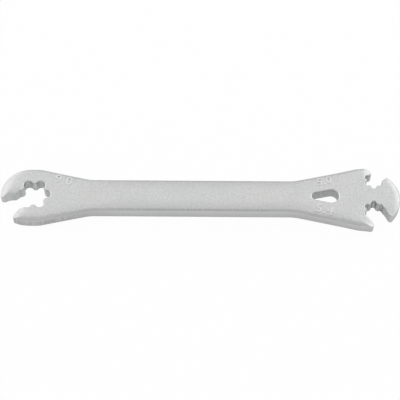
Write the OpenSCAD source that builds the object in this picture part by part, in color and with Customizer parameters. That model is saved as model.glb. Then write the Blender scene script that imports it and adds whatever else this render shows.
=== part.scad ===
// Spoke wrench for splined spoke nipples, lying flat.
// One piece of plated steel: a jaw with a large open socket, a plain shank,
// and a head with a keyhole slot and two small open sockets.
// +X runs from the jaw to the head, +Z is up, and the origin is under the middle of the tool.

/* [Blank] */
// Overall length
overall_length = 108.2; // [98:0.1:125]
// Thickness all over
thickness = 4.2; // [3:0.1:6]
// Width of the shank
shank_width = 9.5; // [7.5:0.1:10.5]
// Width across the two prongs of the head
head_width = 17.9; // [17.4:0.1:19]
// Slope of the tapers at both ends of the shank, in degrees
taper_angle = 13.8; // [11:0.2:18]
// Radius where the tapers run into the shank
taper_blend_radius = 14; // [6:1:20]
// Radius of the rounded outer edges
edge_radius = 0.8; // [0.2:0.05:1]

/* [Jaw] */
// Outer radius of the jaw
jaw_radius = 8.1; // [7.4:0.1:9]
// Length of the level sides of the jaw, from its centre to its tapers
jaw_level = 1.5; // [0.5:0.1:3]
// From the jaw's centre back to the centre of its socket
jaw_socket_setback = 1; // [0.4:0.1:1.8]
// From the middle line up to the centre of the jaw's socket
jaw_socket_rise = 0.05; // [0:0.05:0.3]
// Across the teeth of the jaw's socket
jaw_socket_teeth = 6.4; // [6:0.1:7.4]
// Across the lobes of the jaw's socket
jaw_socket_lobes = 8.9; // [8.6:0.05:9.6]
// Width of the round end of each lobe of the jaw's socket
jaw_lobe_width = 2.3; // [1.8:0.1:2.6]
// From the end of the socket's lobe out to the start of the upper side of the mouth
mouth_upper_start_out = 0.5; // [0.2:0.1:0.8]
// Direction of the upper side of the mouth, in degrees
mouth_upper_angle = 193; // [186:1:198]
// Length of the flat shelf on the lower side of the mouth
mouth_shelf = 1.8; // [1.2:0.1:2.2]
// Radius where the shelf turns down into the lower side of the mouth
shelf_radius = 2; // [0.6:0.1:2.4]
// Direction of the lower side of the mouth, in degrees
mouth_lower_angle = 230; // [224:1:236]
// Radius of the upper jaw's tip
upper_tip_radius = 0.8; // [0.3:0.1:1.2]
// Radius of the lower jaw's tip
lower_tip_radius = 0.7; // [0.3:0.1:1]

/* [Head] */
// Radius of the rounded end of the head
head_radius = 7.8; // [7.2:0.1:8.2]
// Radius of the mushroom tips at the end of the head
mushroom_tip_radius = 0.7; // [0.3:0.1:0.9]
// How far the rounded end of the head sits below the middle line
mushroom_drop = 0.3; // [0.1:0.05:0.5]
// From the head's centre forward to the centre of the upper socket
upper_socket_lead = 0.8; // [0.5:0.1:1.1]
// From the middle line up to the centre of the upper socket
upper_socket_offset = 5; // [4.7:0.05:5.2]
// Across the teeth of the upper socket
upper_socket_teeth = 3.8; // [3.4:0.1:4]
// Across the lobes of the upper socket
upper_socket_lobes = 5.05; // [4.8:0.05:5.3]
// Width of the round end of each lobe of the upper socket
upper_lobe_width = 1.2; // [0.9:0.1:1.4]
// Slope of the upper mouth beside the mushroom, in degrees
upper_mouth_angle = 36; // [28:1:46]
// From the head's centre forward to the centre of the lower socket
lower_socket_lead = 0.5; // [0.2:0.1:0.8]
// From the middle line down to the centre of the lower socket
lower_socket_offset = 4.15; // [3.9:0.05:4.5]
// Across the teeth of the lower socket
lower_socket_teeth = 4.05; // [3.6:0.05:4.3]
// Across the lobes of the lower socket
lower_socket_lobes = 5.4; // [5.1:0.05:5.7]
// Width of the round end of each lobe of the lower socket
lower_lobe_width = 1.3; // [1:0.1:1.5]
// Step from the lower socket's lobe out to the mushroom
lower_mouth_step = 0.5; // [0.2:0.05:0.6]
// Downward slope of the lower mouth beside the mushroom, in degrees
lower_mouth_angle = 61; // [50:1:66]
// Downward slope of the lower mouth along its prong, in degrees
lower_prong_angle = 48; // [44:1:52]

/* [Prongs] */
// From the end of the taper to the head's centre
prong_length = 3.9; // [3:0.1:5]
// Ends of the prongs, past the head's centre
prong_past = 0.3; // [0:0.05:0.5]
// Radius where the tapers turn level
prong_level_radius = 5; // [2:0.5:8]
// Outer corner radius of the upper prong
upper_prong_radius = 2; // [1.6:0.1:2.2]
// Outer corner radius of the lower prong
lower_prong_radius = 0.7; // [0.3:0.1:1]
// Radius of the tips of the prongs
prong_tip_radius = 0.3; // [0.1:0.05:0.4]

/* [Keyhole slot] */
// From the head's centre back to the wide end of the slot
slot_setback = 10.9; // [10:0.1:13]
// Distance between the centres of the slot's two ends
slot_length = 4.2; // [3:0.1:6]
// Radius of the wide end
slot_wide_radius = 2; // [1.6:0.1:2.4]
// Radius of the narrow end
slot_narrow_radius = 1.1; // [0.8:0.1:1.5]

/* [Hidden] */
$fn = 128;

lobe_count = 6;
lobe_pitch = 360 / lobe_count;
// Slope of the sides of each lobe
lobe_slope = 15;
small_socket_turn = lobe_pitch / 2;
// How far cuts run past the steel
spare = 1;
beyond = 2 * jaw_radius;
// How far one surface dips into the next where the two run on smoothly
seam = 0.01;

half_shank = shank_width / 2;
half_head = head_width / 2;
side_depth = half_head - half_shank / 2;
blend_depth = half_shank / 2;
blend_reach = taper_blend_radius * tan(taper_angle / 2);
level_reach = prong_level_radius * tan(taper_angle / 2);

jaw_centre = [jaw_radius - overall_length / 2, 0];
jaw_level_end = jaw_centre + [jaw_level, 0];
jaw_socket_centre = jaw_centre + [jaw_socket_setback, jaw_socket_rise];
jaw_tangent = jaw_level_end + jaw_radius * toward(90 - taper_angle);
jaw_shank_corner = [jaw_tangent.x + (jaw_tangent.y - half_shank) / tan(taper_angle), half_shank];

head_centre = [overall_length / 2 - head_radius, 0];
mushroom_centre = head_centre - [0, mushroom_drop];
head_taper_corner = [head_centre.x - prong_length, half_head];
head_shank_corner = [head_taper_corner.x - (half_head - half_shank) / tan(taper_angle), half_shank];
level_start = head_taper_corner + [level_reach, 0];
level_centre = level_start - [0, prong_level_radius];
level_tangent = level_centre + prong_level_radius * toward(90 + taper_angle);
prong_end = head_centre.x + prong_past;
prong_centre = [prong_end, half_head] - upper_prong_radius * [1, 1];
upper_socket_centre = head_centre + [upper_socket_lead, upper_socket_offset];
lower_socket_centre = head_centre + [lower_socket_lead, -lower_socket_offset];

// Sides of the jaw's mouth
jaw_lobe_side = lobe_centre(jaw_socket_centre, jaw_socket_lobes, jaw_lobe_width, 180)
    + (jaw_lobe_width / 2 - seam) * toward(135);
mouth_upper_start = jaw_socket_centre - [jaw_socket_lobes / 2 + mouth_upper_start_out, 0];
shelf_start = lobe_centre(jaw_socket_centre, jaw_socket_lobes, jaw_lobe_width, 240)
    - [0, jaw_lobe_width / 2 - seam];
shelf_end = shelf_start - [mouth_shelf, 0];

// Sides of the upper mouth: the prong's underside and the mushroom's shoulder
hook_start = lobe_centre(upper_socket_centre, upper_socket_lobes, upper_lobe_width, 150)
    + [0, upper_lobe_width / 2 - seam];
hook_end = [prong_end - seam, hook_start.y];
upper_lobe_side = lobe_centre(upper_socket_centre, upper_socket_lobes, upper_lobe_width, 330)
    + [upper_lobe_width / 2 - seam, 0];
upper_shoulder = [upper_lobe_side.x, upper_socket_centre.y];

// Sides of the lower mouth: the inside of the lower prong and the mushroom's shoulder
lower_prong_start = lobe_centre(lower_socket_centre, lower_socket_lobes, lower_lobe_width, 210)
    + (lower_lobe_width / 2 - seam) * toward(-90 - lower_prong_angle);
lower_prong_tip = [prong_end,
    lower_prong_start.y - (prong_end - lower_prong_start.x) * tan(lower_prong_angle)];
lower_lobe_side = lobe_centre(lower_socket_centre, lower_socket_lobes, lower_lobe_width, 30)
    + [lower_lobe_width / 2 - seam, 0];
lower_shoulder = lower_lobe_side + [lower_mouth_step, -lower_lobe_width / 2];

// Unit vector at an angle
function toward(angle) = [cos(angle), sin(angle)];

// Centre of the round end of the lobe that lies at an angle from its socket's centre
function lobe_centre(centre, lobes, lobe_width, angle) = centre + (lobes - lobe_width) / 2 * toward(angle);

// Distance along a line, from a point inside a circle, to where the line leaves the circle
function run_to_circle(start, angle, centre, radius) =
    let (from_centre = start - centre, along = from_centre * toward(angle))
    sqrt(along * along - from_centre * from_centre + radius * radius) - along;

// Section from a middle line out to a rim, whose two edges are rounded
module rim_section(depth) {
    difference() {
        square([depth, thickness]);
        for (face = [0, 1])
            translate([depth - edge_radius, face * thickness]) mirror([0, 1 - face]) difference() {
                translate([0, -edge_radius]) square(edge_radius + spare);
                translate([0, -edge_radius]) circle(edge_radius);
            }
    }
}

// Disc with a rounded rim
module rim_disc(centre, radius) {
    translate(centre) rotate_extrude() rim_section(radius);
}

// Bar along a straight side, with its rounded rim to the left of the way from start to end
module rim_bar(start, end, depth) {
    way = end - start;
    translate(start) rotate(atan2(way.y, way.x)) rotate([90, 0, 90])
        linear_extrude(norm(way)) translate([-depth - seam, 0]) rim_section(depth);
}

// Arc-shaped filling of a hollow corner, with its rounded rim on the inside of the arc
module rim_blend(centre, from_angle, to_angle) {
    translate(centre) rotate(from_angle) rotate_extrude(angle = to_angle - from_angle)
        translate([taper_blend_radius + 2 * seam + blend_depth, 0]) mirror([1, 0]) rim_section(blend_depth);
}

// Blank before its sockets are cut
module blank() {
    rim_disc(jaw_centre, jaw_radius);
    rim_disc(jaw_level_end, jaw_radius);
    rim_disc(mushroom_centre, head_radius);
    rim_disc(prong_centre, upper_prong_radius);
    rim_bar(level_start, [prong_centre.x, half_head], side_depth);
    rim_bar([prong_end, prong_centre.y], [prong_end, 0], upper_prong_radius);
    mirror([0, 1]) rim_bar(level_start, [prong_end, half_head], side_depth);
    for (side = [0, 1]) mirror([0, side]) {
        rim_bar([jaw_centre.x, half_shank + seam], [head_centre.x, half_shank + seam], half_shank + seam);
        rim_bar(jaw_centre + [0, jaw_radius], jaw_level_end + [0, jaw_radius], side_depth);
        rim_bar(jaw_tangent, jaw_shank_corner, side_depth);
        rim_bar(head_shank_corner, level_tangent, side_depth);
        rim_disc(level_centre, prong_level_radius);
        rim_blend(jaw_shank_corner + [blend_reach, taper_blend_radius], 270 - taper_angle, 270);
        rim_blend(head_shank_corner + [-blend_reach, taper_blend_radius], 270, 270 + taper_angle);
    }
}

// Round hole through the blank
module hole(centre, radius) {
    translate([centre.x, centre.y, -spare]) cylinder(r = radius, h = thickness + 2 * spare);
}

// Straight-sided cut through the blank
module cut(points) {
    translate([0, 0, -spare]) linear_extrude(thickness + 2 * spare) polygon(points);
}

// What a corner between two straight edges loses to its rounding.
// The edges leave the corner at from_angle and to_angle, with the steel between them.
module corner_cut(corner, from_angle, to_angle, radius) {
    half_angle = (to_angle - from_angle) / 2;
    middle = toward((from_angle + to_angle) / 2);
    centre = corner + radius / sin(half_angle) * middle;
    difference() {
        cut([
            centre,
            centre + (radius + spare) * toward(from_angle - 90),
            corner - spare / sin(half_angle) * middle,
            centre + (radius + spare) * toward(to_angle + 90)
        ]);
        hole(centre, radius + seam / 2);
    }
}

// What a tip loses to its rounding, where a straight edge runs out through a round rim.
// The steel lies to the left of the edge for side 1 and to its right for side -1.
module tip_cut(start, angle, side, rim_centre, rim_radius, radius) {
    inward = toward(angle + 90 * side);
    centre_run = run_to_circle(start + radius * inward, angle, rim_centre, rim_radius - radius);
    centre = start + radius * inward + centre_run * toward(angle);
    tip_run = run_to_circle(start, angle, rim_centre, rim_radius);
    outward = (centre - rim_centre) / norm(centre - rim_centre);
    difference() {
        cut([
            centre,
            centre - (radius + seam) * inward,
            start - seam * inward + (tip_run + radius) * toward(angle),
            rim_centre + (rim_radius + radius) * outward
        ]);
        hole(centre, radius + seam / 2);
    }
}

// Slot with two round ends of different size, joined by their common tangents
module tapered_slot(wide, wide_radius, narrow, narrow_radius) {
    way = narrow - wide;
    lean = acos((wide_radius - narrow_radius) / norm(way));
    sides = [for (side = [-1, 1]) toward(atan2(way.y, way.x) + side * lean)];
    hole(wide, wide_radius);
    hole(narrow, narrow_radius);
    cut([
        wide + (wide_radius - seam) * sides[0], narrow + (narrow_radius - seam) * sides[0],
        narrow + (narrow_radius - seam) * sides[1], wide + (wide_radius - seam) * sides[1]
    ]);
}

// Splined socket: a round hole with a ring of lobes, whose sides slope so that the teeth between are pointed
module splined_socket(centre, teeth, lobes, lobe_width, turn) {
    lobe_radius = lobe_width / 2;
    lobe_run = (lobes - lobe_width) / 2;
    hole(centre, teeth / 2);
    for (i = [0 : lobe_count - 1])
        tapered_slot(centre, lobe_radius + lobe_run * sin(lobe_slope),
            lobe_centre(centre, lobes, lobe_width, turn + i * lobe_pitch), lobe_radius);
}

// Jaw's socket and the mouth that lets a spoke in
module jaw_cut() {
    splined_socket(jaw_socket_centre, jaw_socket_teeth, jaw_socket_lobes, jaw_lobe_width, 0);
    cut([
        jaw_socket_centre, jaw_lobe_side, mouth_upper_start,
        mouth_upper_start + beyond * toward(mouth_upper_angle),
        shelf_end + beyond * toward(mouth_lower_angle), shelf_end, shelf_start
    ]);
    corner_cut(shelf_end, mouth_lower_angle, 360, shelf_radius);
    tip_cut(mouth_upper_start, mouth_upper_angle, -1, jaw_centre, jaw_radius, upper_tip_radius);
    tip_cut(shelf_end, mouth_lower_angle, 1, jaw_centre, jaw_radius, lower_tip_radius);
}

// Head's upper socket, open between the upper prong and the mushroom
module upper_cut() {
    splined_socket(upper_socket_centre, upper_socket_teeth, upper_socket_lobes, upper_lobe_width,
        small_socket_turn);
    cut([
        upper_socket_centre, hook_start, hook_end, hook_end + [0, beyond],
        upper_shoulder + beyond * toward(upper_mouth_angle), upper_shoulder, upper_lobe_side
    ]);
    corner_cut([prong_end, half_head], 180, 270, upper_prong_radius);
    corner_cut(hook_end, 90, 180, prong_tip_radius);
    tip_cut(upper_shoulder, upper_mouth_angle, -1, mushroom_centre, head_radius, mushroom_tip_radius);
}

// Head's lower socket, open between the lower prong and the mushroom
module lower_cut() {
    splined_socket(lower_socket_centre, lower_socket_teeth, lower_socket_lobes, lower_lobe_width,
        small_socket_turn);
    cut([
        lower_socket_centre, lower_prong_start, lower_prong_start + beyond * toward(-lower_prong_angle),
        lower_shoulder + beyond * toward(-lower_mouth_angle), lower_shoulder, lower_lobe_side
    ]);
    corner_cut(lower_prong_tip, 180 - lower_prong_angle, 270, prong_tip_radius);
    corner_cut([prong_end, -half_head], 90, 180, lower_prong_radius);
    tip_cut(lower_shoulder, -lower_mouth_angle, 1, mushroom_centre, head_radius, mushroom_tip_radius);
}

// Keyhole slot in the middle of the head, with its narrow end towards the shank
module keyhole_slot() {
    wide = head_centre - [slot_setback, 0];
    tapered_slot(wide, slot_wide_radius, wide - [slot_length, 0], slot_narrow_radius);
}

// Whole tool in one piece
module wrench_body() {
    color("silver") difference() {
        blank();
        jaw_cut();
        upper_cut();
        lower_cut();
        keyhole_slot();
    }
}

wrench_body();
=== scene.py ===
import math

import bmesh
import bpy
import numpy as np
from mathutils import Euler, Matrix, Vector
from mathutils.geometry import delaunay_2d_cdt


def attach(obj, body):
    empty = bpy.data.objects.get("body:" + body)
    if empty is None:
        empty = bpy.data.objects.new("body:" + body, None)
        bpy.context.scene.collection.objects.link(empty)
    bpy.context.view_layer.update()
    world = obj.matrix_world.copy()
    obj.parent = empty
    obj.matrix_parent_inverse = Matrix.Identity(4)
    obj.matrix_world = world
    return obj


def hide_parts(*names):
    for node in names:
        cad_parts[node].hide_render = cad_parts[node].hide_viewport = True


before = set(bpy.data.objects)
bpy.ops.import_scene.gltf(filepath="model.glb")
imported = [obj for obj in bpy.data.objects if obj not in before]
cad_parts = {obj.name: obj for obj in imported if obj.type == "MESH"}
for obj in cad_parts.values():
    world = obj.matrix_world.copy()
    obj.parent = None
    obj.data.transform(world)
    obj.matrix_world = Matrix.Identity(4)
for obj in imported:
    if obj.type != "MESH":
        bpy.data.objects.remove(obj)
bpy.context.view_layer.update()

MM = 0.001
SMOOTH_ANGLE = math.radians(35)

# Sizes of the tool in millimetres, repeated from the solids
THICKNESS = 4.2
MARK_HEIGHT = 0.08
FACE_HEIGHT = THICKNESS - MARK_HEIGHT
# Centre of every splined socket, reach of its edge and distance to its teeth
JAW_SOCKET = (Vector((-45.0, 0.05)), 4.75, 3.2)
UPPER_SOCKET = (Vector((47.1, 5.0)), 2.75, 1.9)
LOWER_SOCKET = (Vector((46.8, -4.15)), 2.95, 2.02)
SOCKETS = (JAW_SOCKET, UPPER_SOCKET, LOWER_SOCKET)
# The jaw's mouth, the keyhole slot and a burr on the lower prong that is dropped
JAW_MOUTH = Vector((-51.5, -2.6))
JAW_MOUTH_REACH = 3.6
SLOT_X = (29.9, 37.5)
SLOT_HALF_WIDTH = 2.1
BURR = Vector((46.73, -8.04))
BURR_REACH = 0.115

# Roundings of the forging in millimetres, across the face and down the wall
JAW_ROUNDING = (1.25, 1.3)
SHANK_ROUNDING = (0.7, 0.45)
HEAD_ROUNDING = (1.2, 1.35)
END_ROUNDING = (1.5, 1.3)
SLOT_ROUNDING = (0.4, 0.25)
SOCKET_ROUNDING = (0.22, 0.2)
SOCKET_SIDE_ROUNDING = (0.65, 0.35)
TOOTH_ROUNDING = (0.7, 1.4)
END_EDGE_SHARE = 0.2
CORNER_ROUNDING = 0.13
CORNER_ROOM = 1.2
ROOM_SHARE = 0.7
EASING = ((0.5, "least"), (0.8, "mean"), (0.8, "mean"))
SHARP_CORNER = math.radians(25)
ROUNDING_RINGS = 6
FLAT_SHARE = 0.15
LONGEST_SIDE = 0.8
FOLD_REACH = 0.9
FOLD_TRIES = 200
FOLD_CUT = 0.06

# Wear and painted highlights on the rims and the jaw's teeth, painted shade in the sockets, on the jaw's
# wall and along the shank's edges, and the rings of corners that they lie on
OPENING_SHEEN = 1.5
JAW_WEAR_AND_SHEEN = 1.7
TOOTH_SHEEN = 1.6
TOOTH_SMOOTHING = 0.8
JAW_SOCKET_SHADE = 0.12
HEAD_SOCKET_SHADE = 0.85
EDGE_SHADE = 0.28
WALL_SHADE = 0.32
EDGE_LEVELS = (4, 5, 6)
WALL_LEVELS = 3

# Fall of the faces towards the ends and the long sides, and how far it reaches, in millimetres
JAW_FALL = (0.95, 3.4)
HEAD_FALL = (1.0, 3.0)
LOWER_PRONG_FALL = (1.15, 4.4)
END_FALL = (0.75, 1.7)
END_START = 48.0
JAW_SIDE_FALL = (0.4, 3.0)
SHANK_SIDE_FALL = (0.28, 3.2)
HEAD_SIDE_FALL = (0.5, 3.4)
PRONG_SIDE_FALL = (0.25, 2.4)
FAR_SHARE = 0.9
END_FAR_SHARE = 0.45
END_ZONE = 41.0
UNDER_SHARE = 0.4
SLOPE_STEP = 0.25
GRID_STEP = 0.6
GRID_REACH = (54.0, 9.0)

# Where one rounding, fall, wear and painted highlight, or painted shade passes into the next, in
# millimetres along the tool
JAW_ROUNDING_ZONE = (-46, -30)
HEAD_ROUNDING_ZONE = (24, 40)
HEAD_LENGTH_END = 42
END_ROUNDING_ZONE = (44, 50)
JAW_FALL_ZONE = (-40, -28)
HEAD_FALL_ZONE = (24, 38)
PRONG_FALL_ZONE = (38, 45)
FAR_ZONE = (34, 42)
WEAR_AND_SHEEN_ZONE = (30, 40)
WALL_SHADE_ZONE = (32, 38)
EDGE_SHADE_ZONE = (16, 27)
TOOTH_ZONE = (0.1, 0.6)

# How squarely an edge has to face an end, and a lobe a side
END_FACING = (0.42, 0.95)
LOBE_FACING = (0.4, 0.9)


# Small helpers for modelling by hand
def deselect_all():
    bpy.ops.object.select_all(action="DESELECT")


def activate(piece):
    deselect_all()
    piece.select_set(True)
    bpy.context.view_layer.objects.active = piece


def ramp(value, start, end):
    return min(1.0, max(0.0, (value - start) / (end - start)))


def mixed(a, b, amount):
    return a + (b - a) * amount


# Edit mode with only the edges that pass a test selected
def pick_edges(piece, test):
    mesh = piece.data
    for part in (mesh.vertices, mesh.edges, mesh.polygons):
        for item in part:
            item.select = False
    activate(piece)
    bpy.ops.object.mode_set(mode="EDIT")
    bpy.ops.mesh.select_mode(type="EDGE")
    bpy.ops.object.mode_set(mode="OBJECT")
    for edge in mesh.edges:
        edge.select = test(edge)
    bpy.ops.object.mode_set(mode="EDIT")


# Whether a place on the outline belongs to a splined socket
def in_socket(place):
    return any((place - centre).length < reach for centre, reach, teeth in SOCKETS)


# How near a place is to the tip of a tooth
def tooth_share(place):
    near, away = TOOTH_ZONE
    gaps = [(place - centre).length - teeth for centre, reach, teeth in SOCKETS]
    return max(1 - ramp(gap, near, away) for gap in gaps)


# The jaw's mouth, between its lip and its thumb
def in_mouth(place):
    return (place - JAW_MOUTH).length < JAW_MOUTH_REACH


# The keyhole slot in the head
def in_slot(place):
    return SLOT_X[0] < place.x < SLOT_X[1] and abs(place.y) < SLOT_HALF_WIDTH


# How far an edge faces the jaw's left end or the head's right end
def end_share(place, outward):
    if in_socket(place) or in_slot(place) or abs(place.x) < END_ZONE:
        return 0.0
    return ramp(outward.x if place.x > 0 else -outward.x, *END_FACING)


# Rounding of the upper and lower edges along the outline
def edge_rounding(place, outward):
    if in_socket(place):
        sideways = ramp(abs(outward.x), *LOBE_FACING)
        lobe = Vector(SOCKET_ROUNDING).lerp(Vector(SOCKET_SIDE_ROUNDING), sideways)
        return lobe.lerp(Vector(TOOTH_ROUNDING), tooth_share(place))
    if in_slot(place):
        return Vector(SLOT_ROUNDING)
    jaw, shank, head, end = map(Vector, (JAW_ROUNDING, SHANK_ROUNDING, HEAD_ROUNDING, END_ROUNDING))
    if place.x < 0:
        rounding = jaw.lerp(shank, ramp(place.x, *JAW_ROUNDING_ZONE))
    elif place.x < HEAD_LENGTH_END:
        rounding = shank.lerp(head, ramp(place.x, *HEAD_ROUNDING_ZONE))
    else:
        rounding = head.lerp(end, ramp(place.x, *END_ROUNDING_ZONE))
    return rounding * mixed(1, END_EDGE_SHARE, end_share(place, outward))


# The outline of the solid at half its thickness, as closed loops of edges in millimetres
def cut_outline():
    piece = bpy.data.objects.new("wrench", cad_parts["wrench_body"].data.copy())
    bpy.context.scene.collection.objects.link(piece)
    piece.data.materials.clear()
    activate(piece)
    bpy.ops.object.mode_set(mode="EDIT")
    bpy.ops.mesh.select_mode(type="VERT")
    bpy.ops.mesh.select_all(action="SELECT")
    bpy.ops.transform.resize(value=(1 / MM, 1 / MM, 1 / MM), center_override=(0, 0, 0))
    bpy.ops.mesh.remove_doubles(threshold=0.002)
    bpy.ops.mesh.select_all(action="SELECT")
    middle = (0, 0, THICKNESS / 2)
    bpy.ops.mesh.bisect(plane_co=middle, plane_no=(0, 0, 1), clear_inner=True, clear_outer=True)
    bpy.ops.mesh.select_all(action="SELECT")
    bpy.ops.mesh.remove_doubles(threshold=0.02)
    bpy.ops.mesh.dissolve_limited(angle_limit=math.radians(0.5))
    bpy.ops.mesh.select_all(action="DESELECT")
    bpy.ops.object.mode_set(mode="OBJECT")
    for vertex in piece.data.vertices:
        vertex.select = (vertex.co.to_2d() - BURR).length < BURR_REACH
    bpy.ops.object.mode_set(mode="EDIT")
    bpy.ops.mesh.dissolve_verts()
    bpy.ops.object.mode_set(mode="OBJECT")
    return piece


# Every closed loop of the outline in order, with the metal on its left
def outline_loops(mesh):
    neighbours = {vertex.index: [] for vertex in mesh.vertices}
    for edge in mesh.edges:
        a, b = edge.vertices
        neighbours[a].append(b)
        neighbours[b].append(a)
    loops = []
    waiting = set(neighbours)
    while waiting:
        first = min(waiting)
        loop = [first]
        waiting.discard(first)
        step = neighbours[first][0]
        while step != first:
            loop.append(step)
            waiting.discard(step)
            step = next((n for n in neighbours[step] if n in waiting), first)
        loops.append(loop)
    places = {i: mesh.vertices[i].co.to_2d() for i in neighbours}

    def area(loop):
        return sum(places[a].cross(places[b]) for a, b in zip(loop, loop[1:] + loop[:1])) / 2

    loops.sort(key=lambda loop: -abs(area(loop)))
    return [loop if (area(loop) > 0) == (loop is loops[0]) else loop[::-1] for loop in loops]


# A sharp corner with room for its rounding on both sides
def is_sharp(mesh, loop, index):
    before, here, after = (mesh.vertices[loop[(index + step) % len(loop)]].co for step in (-1, 0, 1))
    shortest = min((here - before).length, (after - here).length)
    return (here - before).angle(after - here) > SHARP_CORNER and shortest > CORNER_ROUNDING * CORNER_ROOM


# Small roundings on the upright corners of the broached sockets
def round_corners(piece):
    mesh = piece.data
    sharp = set()
    for loop in outline_loops(mesh):
        sharp.update(loop[i] for i in range(len(loop)) if is_sharp(mesh, loop, i))
    activate(piece)
    bpy.ops.object.mode_set(mode="EDIT")
    bpy.ops.mesh.select_all(action="DESELECT")
    bpy.ops.object.mode_set(mode="OBJECT")
    for vertex in mesh.vertices:
        vertex.select = vertex.index in sharp
    bpy.ops.object.mode_set(mode="EDIT")
    bpy.ops.mesh.bevel(offset=CORNER_ROUNDING, segments=4, affect="VERTICES", clamp_overlap=True)
    bpy.ops.mesh.select_all(action="SELECT")
    bpy.ops.mesh.remove_doubles(threshold=0.01)
    bpy.ops.object.mode_set(mode="OBJECT")


# Long sides of the outline cut into short ones, so that the faces can slope along them
def shorten_sides(piece):
    mesh = piece.data
    while any(is_long(mesh, edge) for edge in mesh.edges):
        pick_edges(piece, lambda edge: is_long(mesh, edge))
        bpy.ops.mesh.subdivide(number_cuts=1)
        bpy.ops.object.mode_set(mode="OBJECT")


# Whether a side of the outline is still too long
def is_long(mesh, edge):
    start, end = (mesh.vertices[i].co for i in edge.vertices)
    return (end - start).length > LONGEST_SIDE


# Every corner of the outline, and the way it moves for one millimetre of rounding
def inward_moves(mesh, loops):
    places, moves = [], []
    for loop in loops:
        points = [mesh.vertices[i].co.to_2d() for i in loop]
        for before, here, after in zip(points[-1:] + points[:-1], points, points[1:] + points[:1]):
            first = (here - before).normalized()
            second = (after - here).normalized()
            inward = Vector((-first.y - second.y, first.x + second.x)).normalized()
            moves.append(inward / max(0.7, inward.dot(Vector((-second.y, second.x)))))
            places.append(here)
    return places, moves


# How far every corner of the outline may be moved in before it meets the far side
def room_inside(places, moves, starts, ends):
    room = np.zeros(len(places))
    base, inward = np.array(places), np.array(moves)
    starts, ends = np.array(starts), np.array(ends)
    along = ends - starts
    lengths = (along ** 2).sum(1)
    still = np.ones(len(places), bool)
    for step in np.arange(0.05, 2.0, 0.05):
        points = base + inward * step
        gap = points[:, None, :] - starts[None]
        share = np.clip((gap * along[None]).sum(2) / lengths[None], 0, 1)
        nearest = np.sqrt(((gap - share[..., None] * along[None]) ** 2).sum(2)).min(1)
        still &= nearest > step * 0.9
        room[still] = step
    return room


# Rounding at every corner, eased along the outline
def eased_roundings(loops, places, moves, room):
    roundings = []
    first = 0
    for loop in loops:
        count = len(loop)
        points = places[first:first + count]
        raw = []
        for point, move, space in zip(points, moves[first:], room[first:]):
            wish = edge_rounding(point, -move.normalized())
            raw.append(wish * min(1.0, ROOM_SHARE * space / wish.x))
        for reach, pick in EASING:
            eased = []
            for i, point in enumerate(points):
                near = [raw[i]]
                for way in (1, -1):
                    walked, j = 0.0, i
                    while walked < reach:
                        step = (j + way) % count
                        walked += (points[step] - points[j]).length
                        j = step
                        near.append(raw[j])
                if pick == "least":
                    eased.append(min(near, key=lambda value: value.x))
                else:
                    eased.append(sum(near, Vector((0, 0))) / len(near))
            raw = eased
        roundings += raw
        first += count
    return roundings


# Which sides of the moved outline cross another side
def crossed_sides(starts, followers):
    ends = starts[followers]
    along = ends - starts

    def turn(points):
        gap = points[None] - starts[:, None]
        return along[:, None, 0] * gap[..., 1] - along[:, None, 1] * gap[..., 0]

    apart = turn(starts) * turn(ends) < 0
    return (apart & apart.T).any(1)


# Roundings cut back around the places where the moved outline would fold over itself
def without_folds(places, moves, roundings, followers):
    base, inward = np.array(places), np.array(moves)
    sizes = np.array([rounding.x for rounding in roundings])
    shares = np.ones(len(places))
    sides = base[followers] - base
    gaps = np.sqrt(((base[:, None] - base[None]) ** 2).sum(2))
    nearness = np.clip(1 - gaps / FOLD_REACH, 0, 1)
    for _ in range(FOLD_TRIES):
        inner = base + inward * (sizes * shares * (1 + FLAT_SHARE))[:, None]
        folded = ((inner[followers] - inner) * sides).sum(1) < 0.1 * (sides ** 2).sum(1)
        folded |= crossed_sides(inner, followers)
        if not folded.any():
            break
        shares *= 1 - FOLD_CUT * nearness[:, folded].max(1)
    return [rounding * share for rounding, share in zip(roundings, shares)]


# Whether an edge lies on the outline at half the thickness
def is_halfway(mesh, edge):
    return all(abs(mesh.vertices[i].co.z - THICKNESS / 2) < 0.01 for i in edge.vertices)


# Painted shade: darker colour in the sockets, on the jaw's wall and along the shank's edges, less at the
# teeth's tips
def painted_shade_at(place, level, tooth):
    if in_socket(place):
        socket_shade = JAW_SOCKET_SHADE if place.x < 0 else HEAD_SOCKET_SHADE
        return socket_shade * (1 - tooth) if level < WALL_LEVELS else 0
    if in_slot(place) or in_mouth(place):
        return 0
    if level < WALL_LEVELS:
        return WALL_SHADE * ramp(-place.x, *WALL_SHADE_ZONE)
    if level not in EDGE_LEVELS:
        return 0
    return EDGE_SHADE * (1 - ramp(abs(place.x), *EDGE_SHADE_ZONE))


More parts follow.
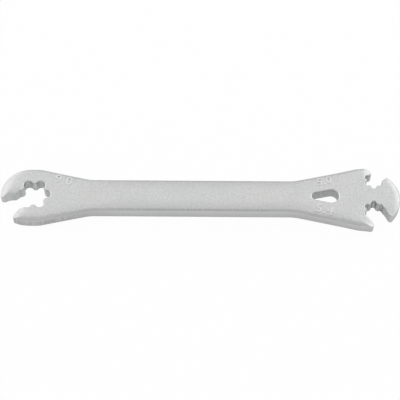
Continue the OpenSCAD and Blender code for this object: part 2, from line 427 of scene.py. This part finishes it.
# The forging: walls drawn up and down from the outline, rounded rims and flat faces
def raise_walls(piece):
    mesh = piece.data
    loops = outline_loops(mesh)
    places, moves = inward_moves(mesh, loops)
    followers = follow_order(loops)
    room = room_inside(places, moves, places, [places[j] for j in followers])
    roundings = without_folds(places, moves, eased_roundings(loops, places, moves, room), followers)
    spots = {(round(place.x, 4), round(place.y, 4)): i for i, place in enumerate(places)}
    rings = ROUNDING_RINGS + 2
    for way in (1, -1):
        pick_edges(piece, lambda edge: is_halfway(mesh, edge))
        for ring in range(rings):
            bpy.ops.mesh.extrude_region_move(TRANSFORM_OT_translate={"value": (0, 0, way)})
        bpy.ops.object.mode_set(mode="OBJECT")
    for name in ("rim", "broached", "side", "grime"):
        mesh.attributes.new(name, "FLOAT", "POINT")
    mesh.attributes.new("flow", "FLOAT_VECTOR", "POINT")
    rim, broached, side, grime, flow = (
        mesh.attributes[name] for name in ("rim", "broached", "side", "grime", "flow"))
    lengths = lengths_along(loops, places)
    last_rings = {rings: {}, -rings: {}}
    for vertex in mesh.vertices:
        i = spots[round(vertex.co.x, 4), round(vertex.co.y, 4)]
        level = round(vertex.co.z - THICKNESS / 2)
        turn = math.radians(90) * min(max(abs(level) - 1, 0), ROUNDING_RINGS) / ROUNDING_RINGS
        down = roundings[i].y
        height = FACE_HEIGHT - down * (1 - math.sin(turn)) if level else FACE_HEIGHT / 2
        upright = height if level > 0 else FACE_HEIGHT - height
        flow.data[vertex.index].vector = Vector((lengths[i], upright, 0)) * MM
        opening = in_socket(places[i]) or in_slot(places[i]) or in_mouth(places[i])
        side.data[vertex.index].value = 0 if opening else math.cos(turn)
        tooth = tooth_share(places[i])
        # Lighter colour on the rounded rims: wear, and a painted highlight on the rims at the ends and
        # around the openings
        wear_and_sheen_level = 0
        if WALL_LEVELS <= abs(level) < rings - 1:
            outside = JAW_WEAR_AND_SHEEN if places[i].x < 0 else 1
            wear_and_sheen_level = OPENING_SHEEN if opening else outside * ramp(abs(places[i].x), *WEAR_AND_SHEEN_ZONE)
        # Painted highlight: the jaw's teeth painted lighter than the lobes around them
        if places[i].x < 0 and abs(level) < rings - 1:
            wear_and_sheen_level = max(wear_and_sheen_level, TOOTH_SHEEN * tooth)
        rim.data[vertex.index].value = wear_and_sheen_level
        straight = opening and abs(level) < WALL_LEVELS
        broached.data[vertex.index].value = 1 - TOOTH_SMOOTHING * tooth if straight else 0
        # Painted shade in the sockets, on the jaw's wall and along the shank's edges
        grime.data[vertex.index].value = painted_shade_at(places[i], abs(level), tooth)
        if level == 0:
            continue
        across = roundings[i].x
        inset = across * (1 - math.cos(turn))
        if abs(level) == rings:
            inset += across * FLAT_SHARE
            last_rings[level][i] = vertex.index
        vertex.co.xy = places[i] + moves[i] * inset
        vertex.co.z = upright
    for ring in last_rings.values():
        close_face(piece, loops, [ring[i] for i in range(len(places))])
    slope_faces(piece, places, moves, followers)
    bpy.ops.object.mode_set(mode="EDIT")
    bpy.ops.mesh.select_all(action="SELECT")
    bpy.ops.mesh.normals_make_consistent(inside=False)
    bpy.ops.transform.resize(value=(MM, MM, MM), center_override=(0, 0, 0))
    bpy.ops.object.mode_set(mode="OBJECT")


# A face inside its ring of corners, with a grid of points so that it can slope
def close_face(piece, loops, ring):
    along, across = (np.arange(-reach, reach + 0.1, GRID_STEP) for reach in GRID_REACH)
    grid = [Vector((x, y)) for x in along for y in across]
    shape = bmesh.new()
    shape.from_mesh(piece.data)
    shape.verts.ensure_lookup_table()
    corners = [shape.verts[i] for i in ring]
    height = corners[0].co.z
    borders = []
    for loop in loops:
        first = sum(len(border) for border in borders)
        borders.append(list(range(first, first + len(loop))))
    points = [corner.co.to_2d() for corner in corners] + grid
    spots, _, faces, sources, _, owners = delaunay_2d_cdt(points, [], borders, 1, 1e-7)
    made = {}
    for face, owner in zip(faces, owners):
        if len(owner) < len(loops):
            continue
        for i in face:
            if i not in made:
                known = [source for source in sources[i] if source < len(corners)]
                made[i] = corners[known[0]] if known else shape.verts.new((*spots[i], height))
        shape.faces.new([made[i] for i in face])
    shape.to_mesh(piece.data)
    shape.free()


# Depth and reach of the faces' fall towards an edge
def fall_at(place, outward):
    if in_socket(place) or in_slot(place):
        return Vector((0, 1))
    jaw, shank, head = map(Vector, (JAW_SIDE_FALL, SHANK_SIDE_FALL, HEAD_SIDE_FALL))
    prong = Vector(PRONG_SIDE_FALL)
    if place.x < 0:
        side = jaw.lerp(shank, ramp(place.x, *JAW_FALL_ZONE))
        end = Vector(JAW_FALL)
    else:
        side = shank.lerp(head, ramp(place.x, *HEAD_FALL_ZONE)).lerp(prong, ramp(place.x, *PRONG_FALL_ZONE))
        prong_end = HEAD_FALL if place.y > 0 else LOWER_PRONG_FALL
        end = Vector(prong_end if place.x < END_START else END_FALL)
    far = mixed(FAR_SHARE, END_FAR_SHARE, ramp(abs(place.x), *FAR_ZONE))
    side.x *= mixed(1, far, ramp(outward.y, 0, 0.5))
    return side.lerp(end, end_share(place, outward))


# The faces fall gently towards the outline, most of all at the jaw's left end and the head's right end
def slope_faces(piece, places, moves, followers):
    falls = [fall_at(place, -move.normalized()) for place, move in zip(places, moves)]
    spots, depths, reaches = [], [], []
    for i, j in enumerate(followers):
        if falls[i].x + falls[j].x == 0:
            continue
        steps = max(1, int((places[j] - places[i]).length / SLOPE_STEP))
        for step in range(steps):
            spots.append(places[i].lerp(places[j], step / steps))
            depth, reach = falls[i].lerp(falls[j], step / steps)
            depths.append(depth)
            reaches.append(reach)
    spots, depths, reaches = np.array(spots), np.array(depths), np.array(reaches)
    middle = FACE_HEIGHT / 2
    for vertex in piece.data.vertices:
        gaps = np.hypot(spots[:, 0] - vertex.co.x, spots[:, 1] - vertex.co.y)
        fall = (depths * np.clip(1 - gaps / reaches, 0, 1) ** 2).max()
        if vertex.co.z < middle:
            fall *= UNDER_SHARE
        vertex.co.z = middle + (vertex.co.z - middle) * (1 - fall / middle)


# Distance walked along every loop of the outline
def lengths_along(loops, places):
    lengths = []
    first = 0
    for loop in loops:
        walked = 0.0
        for i in range(first, first + len(loop)):
            if i > first:
                walked += (places[i] - places[i - 1]).length
            lengths.append(walked)
        first += len(loop)
    return lengths


# The corner that follows every corner along its loop
def follow_order(loops):
    order = []
    first = 0
    for loop in loops:
        order += [first + (i + 1) % len(loop) for i in range(len(loop))]
        first += len(loop)
    return order


wrench = cut_outline()
round_corners(wrench)
shorten_sides(wrench)
raise_walls(wrench)
activate(wrench)
bpy.ops.object.shade_smooth_by_angle(angle=SMOOTH_ANGLE)


# Raised sizes beside the openings: text, middle, height of the figures and turn
NUMBERS = (
    ("9.0", (-37.1, 4.35), 2.6, -13.8),
    ("5.0", (33.6, 4.6), 2.2, 13.8),
    ("5.4", (33.5, -4.1), 2.6, -13.8),
)
NUMBER_SIZE = 1.4
NUMBER_SPACING = 1.15
NUMBER_DEPTH = 0.15
NUMBER_BEVEL = 0.05
# Painted highlight: the raised figures painted lighter than the face
MARK_SHEEN = 1.15


# One raised number, lying on the face with its top at the tool's full thickness
def raise_number(text, middle, height, turn):
    deselect_all()
    bpy.ops.object.text_add()
    number = bpy.context.object
    number.data.body = text
    number.data.size = height * NUMBER_SIZE
    number.data.space_character = NUMBER_SPACING
    number.data.extrude = NUMBER_DEPTH
    number.data.bevel_depth = NUMBER_BEVEL
    number.data.bevel_resolution = 2
    bpy.ops.object.convert(target="MESH")
    number = bpy.context.object
    corners = [vertex.co for vertex in number.data.vertices]
    low = Vector([min(corner[axis] for corner in corners) for axis in range(3)])
    high = Vector([max(corner[axis] for corner in corners) for axis in range(3)])
    scale = height / (high.y - low.y)
    bpy.ops.object.mode_set(mode="EDIT")
    bpy.ops.mesh.select_all(action="SELECT")
    bpy.ops.transform.translate(value=-Vector(((low.x + high.x) / 2, (low.y + high.y) / 2, high.z)))
    bpy.ops.transform.resize(value=(scale, scale, 1), center_override=(0, 0, 0))
    bpy.ops.transform.rotate(value=-math.radians(turn), orient_axis="Z", center_override=(0, 0, 0))
    bpy.ops.transform.translate(value=(*middle, THICKNESS))
    bpy.ops.transform.resize(value=(MM, MM, MM), center_override=(0, 0, 0))
    bpy.ops.mesh.remove_doubles(threshold=1e-6)
    bpy.ops.object.mode_set(mode="OBJECT")
    return number


numbers = [raise_number(*number) for number in NUMBERS]
activate(numbers[0])
for number in numbers:
    number.select_set(True)
bpy.ops.object.join()
marks = bpy.context.object
marks.name = "size_marks"
bpy.ops.object.shade_smooth_by_angle(angle=SMOOTH_ANGLE)
# The figures get the rims' lighter colour, a painted highlight
sheen_layer = marks.data.attributes.new("rim", "FLOAT", "POINT")
for point in sheen_layer.data:
    point.value = MARK_SHEEN


# Socket of a node, for sums on values
class Level:
    def __init__(self, finish, socket):
        self.finish = finish
        self.socket = socket

    def math(self, operation, first, second):
        return self.finish.add("ShaderNodeMath", {"operation": operation}, {0: first, 1: second})

    def __add__(self, other):
        return self.math("ADD", self, other)

    __radd__ = __add__

    def __sub__(self, other):
        return self.math("SUBTRACT", self, other)

    def __rsub__(self, other):
        return self.math("SUBTRACT", other, self)

    def __mul__(self, other):
        return self.math("MULTIPLY", self, other)

    __rmul__ = __mul__


# Material built from nodes
class Finish:
    def __init__(self, name):
        self.material = bpy.data.materials.new(name)
        self.material.use_nodes = True
        self.tree = self.material.node_tree
        self.surface = self.tree.nodes["Principled BSDF"]
        self.output = self.tree.nodes["Material Output"]

    def add(self, kind, settings, inputs, output=0):
        node = self.tree.nodes.new(kind)
        for name, value in settings.items():
            if name == "stops":
                self.set_stops(node.color_ramp.elements, value)
            else:
                setattr(node, name, value)
        for name, value in inputs.items():
            self.feed(self.find(node.inputs, name), value)
        return Level(self, self.find(node.outputs, output))

    def find(self, sockets, name):
        if isinstance(name, int):
            return sockets[name]
        return next((socket for socket in sockets if socket.identifier == name), None) or sockets[name]

    def feed(self, socket, value):
        if isinstance(value, Level):
            self.tree.links.new(value.socket, socket)
        else:
            socket.default_value = value

    def set_stops(self, elements, stops):
        while len(elements) < len(stops):
            elements.new(0.5)
        for element, (position, shade) in zip(elements, stops):
            element.position = position
            element.color = (shade, shade, shade, 1)

    def place(self):
        return self.add("ShaderNodeTexCoord", {}, {}, "Object")

    def attribute(self, name):
        return self.add("ShaderNodeAttribute", {"attribute_name": name}, {}, "Fac")

    def noise(self, place, scale, detail, roughness=0.5):
        return self.add("ShaderNodeTexNoise", {}, {
            "Vector": place, "Scale": scale, "Detail": detail, "Roughness": roughness}, "Fac")

    def ramp(self, level, *stops):
        return self.add("ShaderNodeValToRGB", {"stops": stops}, {"Fac": level}, "Color")

    def mix(self, amount, first, second):
        return self.add("ShaderNodeMix", {"data_type": "RGBA"}, {
            "Factor_Float": amount, "A_Color": first, "B_Color": second}, "Result_Color")

    def distance_from_middle(self, place, axis):
        along = self.add("ShaderNodeSeparateXYZ", {}, {"Vector": place}, axis)
        return self.add("ShaderNodeMath", {"operation": "ABSOLUTE"}, {0: along})

    def bump(self, height, strength, distance, normal=None):
        inputs = {"Height": height, "Strength": strength, "Distance": distance}
        if normal:
            inputs["Normal"] = normal
        return self.add("ShaderNodeBump", {}, inputs, "Normal")

    def stretched(self, place, scale):
        return self.add("ShaderNodeMapping", {}, {"Vector": place, "Scale": scale}, "Vector")


# Shades of the plating, with colours for painted highlight and painted shade
COOL_STEEL = (0.57, 0.578, 0.58, 1)
PALE_STEEL = (0.615, 0.62, 0.615, 1)
WARM_STEEL = (0.62, 0.61, 0.585, 1)
DARK_SPECK = (0.46, 0.465, 0.468, 1)
LIGHT_SPECK = (0.74, 0.745, 0.742, 1)
PIT_SHADE = (0.42, 0.425, 0.43, 1)
# Lighter colour for wear and for the painted highlights on the rims, teeth and figures, and for the polish
# on the shank's sides
WEAR_AND_SHEEN_STEEL = (0.72, 0.725, 0.73, 1)
DARK_LINE = (0.53, 0.53, 0.53, 1)
LIGHT_LINE = (0.67, 0.67, 0.665, 1)
DARK_STREAK = (0.57, 0.58, 0.585, 1)
LIGHT_STREAK = (0.71, 0.715, 0.72, 1)
# Painted shade for the sockets, the jaw's wall and the shank's edges
SHADE_TONE = (0.3, 0.305, 0.3, 1)
# Painted shade near the shank's long edges
SHANK_EDGE_SHADE = (0.48, 0.483, 0.48, 1)

# How strongly pits, wear and painted highlights, brushed sides, painted shade near the shank's edges and
# the polish of handling show
PITTING = 0.35
WEAR_AND_SHEEN_AMOUNT = 0.45
BRUSHING = 0.8
SHANK_EDGE_SHADING = 0.6
POLISHING = 0.6

# Stops along the shank in tenths of a metre and across it in hundredths, for the polish on the shank's
# sides and the painted shade near its edges
SHANK_STOPS = ((0.23, 1), (0.31, 0))
EDGE_SHADE_STOPS = ((0.15, 0), (0.47, 1))


# Satin plating over a tumbled forging, with painted highlights on the rims, teeth and figures and painted
# shade in the sockets and along the edges
def plated_steel():
    finish = Finish("plated_steel")
    place = finish.place()
    rim = finish.attribute("rim")
    side = finish.attribute("side")
    broached = finish.attribute("broached")
    flow = finish.add("ShaderNodeAttribute", {"attribute_name": "flow"}, {}, "Vector")
    clouds = finish.noise(place, 220, 3)
    warmth = finish.noise(finish.stretched(place, (90, 140, 90)), 1, 2)
    mottle = finish.noise(place, 1700, 4, 0.65)
    grain = finish.noise(place, 3600, 3, 0.6)
    pits = finish.ramp(finish.noise(place, 2100, 2), (0.66, 0), (0.74, 1))
    streaks = finish.noise(finish.stretched(place, (5200, 5200, 260)), 1, 3)
    brushed = finish.noise(finish.stretched(flow, (300, 7000, 1)), 1, 3)
    tint = finish.mix(finish.ramp(clouds, (0.35, 0), (0.65, 1)), COOL_STEEL, PALE_STEEL)
    tint = finish.mix(finish.ramp(warmth, (0.45, 0), (0.7, 0.45)), tint, WARM_STEEL)
    speckled = finish.mix(finish.ramp(mottle, (0.3, 0), (0.7, 1)), DARK_SPECK, LIGHT_SPECK)
    face = finish.mix(0.5, tint, speckled)
    shank = finish.ramp(finish.distance_from_middle(place, "X") * 10, *SHANK_STOPS)
    edges = finish.ramp(finish.distance_from_middle(place, "Y") * 100, *EDGE_SHADE_STOPS)
    # Painted shade: the face painted darker towards the shank's long edges
    face = finish.mix(shank * edges * SHANK_EDGE_SHADING, face, SHANK_EDGE_SHADE)
    face = finish.mix(pits * PITTING, face, PIT_SHADE)
    # Lighter colour on the rims, teeth and figures: wear and painted highlight
    face = finish.mix(rim * WEAR_AND_SHEEN_AMOUNT, face, WEAR_AND_SHEEN_STEEL)
    lined = finish.mix(finish.ramp(brushed, (0.3, 0), (0.7, 1)), DARK_LINE, LIGHT_LINE)
    lined = finish.mix(shank * POLISHING, lined, WEAR_AND_SHEEN_STEEL)
    face = finish.mix(side * BRUSHING, face, lined)
    wall = finish.mix(finish.ramp(streaks, (0.3, 0), (0.7, 1)), DARK_STREAK, LIGHT_STREAK)
    colour = finish.mix(broached, face, wall)
    # Painted shade in patches in the sockets, on the jaw's wall and along the shank's edges
    shade_patches = finish.noise(finish.stretched(flow, (1500, 250, 1)), 1, 2)
    shade_patches = finish.ramp(shade_patches, (0.42, 0), (0.58, 1))
    colour = finish.mix(finish.attribute("grime") * shade_patches, colour, SHADE_TONE)
    finish.feed(finish.surface.inputs["Base Color"], colour)
    finish.surface.inputs["Metallic"].default_value = 1
    roughness = 0.36 + mottle * 0.14 + pits * 0.1 - rim * 0.06 + broached * 0.06
    finish.feed(finish.surface.inputs["Roughness"], roughness)
    lumps = finish.bump(mottle, 0.6, 0.00008)
    fine = finish.bump(grain - pits * 0.6, 0.35, 0.00002, lumps)
    lines = finish.bump(streaks * broached + brushed * side, 0.4, 0.00004, fine)
    finish.feed(finish.surface.inputs["Normal"], lines)
    return finish.material


steel = plated_steel()
for piece in (wrench, marks):
    piece.data.materials.clear()
    piece.data.materials.append(steel)
    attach(piece, "root")
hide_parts("wrench_body")


# Pale floor, lifted towards white for the camera and, less, for reflections, and even light all round
FLOOR_GLOW = 0.96
MIRROR_GLOW = 0.36
STUDIO_LIGHT = 0.67


# A large plain table under the tool
def make_floor():
    deselect_all()
    bpy.ops.mesh.primitive_plane_add(size=3, location=(0, 0, -0.00002))
    floor = bpy.context.object
    floor.name = "floor"
    finish = Finish("white_table")
    finish.surface.inputs["Base Color"].default_value = (0.9, 0.9, 0.9, 1)
    finish.surface.inputs["Roughness"].default_value = 0.9
    finish.surface.inputs["Specular IOR Level"].default_value = 0
    seen = finish.add("ShaderNodeLightPath", {}, {}, "Is Camera Ray")
    mirrored = finish.add("ShaderNodeLightPath", {}, {}, "Is Glossy Ray")
    glow = finish.add("ShaderNodeEmission", {}, {"Strength": 1.0}, "Emission")
    lit = Level(finish, finish.surface.outputs["BSDF"])
    amount = seen * FLOOR_GLOW + mirrored * MIRROR_GLOW
    both = finish.add("ShaderNodeMixShader", {}, {0: amount, 1: lit, 2: glow})
    finish.feed(finish.output.inputs["Surface"], both)
    floor.data.materials.append(finish.material)


make_floor()


# Soft box that faces the tool
def add_lamp(name, place, size, power, aim=(0, 0, 0)):
    lamp = bpy.data.lights.new(name, "AREA")
    lamp.shape = "RECTANGLE"
    lamp.size, lamp.size_y = size
    lamp.energy = power
    holder = bpy.data.objects.new(name, lamp)
    bpy.context.scene.collection.objects.link(holder)
    holder.location = place
    holder.rotation_euler = (Vector(aim) - Vector(place)).to_track_quat("-Z", "Y").to_euler()


add_lamp("overhead", (0, 0.3, 0.55), (1.0, 0.5), 0.66)
add_lamp("left_box", (-0.47, 0.29, 0.24), (0.8, 0.4), 0.9)
add_lamp("right_box", (0.47, 0.29, 0.24), (0.8, 0.4), 1.05)

world = bpy.data.worlds.new("studio")
bpy.context.scene.world = world
world.use_nodes = True
world.node_tree.nodes["Background"].inputs["Color"].default_value = (1, 1, 1, 1)
world.node_tree.nodes["Background"].inputs["Strength"].default_value = STUDIO_LIGHT


# Camera at the photograph's viewing angle
def make_camera():
    data = bpy.data.cameras.new("camera")
    camera = bpy.data.objects.new("camera", data)
    bpy.context.scene.collection.objects.link(camera)
    elevation = math.radians(61)
    distance = 405 * MM
    roll = math.radians(0.38)
    target = Vector((-0.1, 0, THICKNESS)) * MM
    camera.location = target + distance * Vector((0, -math.cos(elevation), math.sin(elevation)))
    tilt = Euler((math.pi / 2 - elevation, 0, 0)).to_matrix() @ Matrix.Rotation(roll, 3, "Z")
    camera.rotation_euler = tilt.to_euler()
    data.sensor_width = 36
    data.lens = 135
    data.shift_y = -5.14 / 400
    data.clip_start = 0.01
    bpy.context.scene.camera = camera


make_camera()

bpy.context.scene.view_settings.view_transform = "Standard"
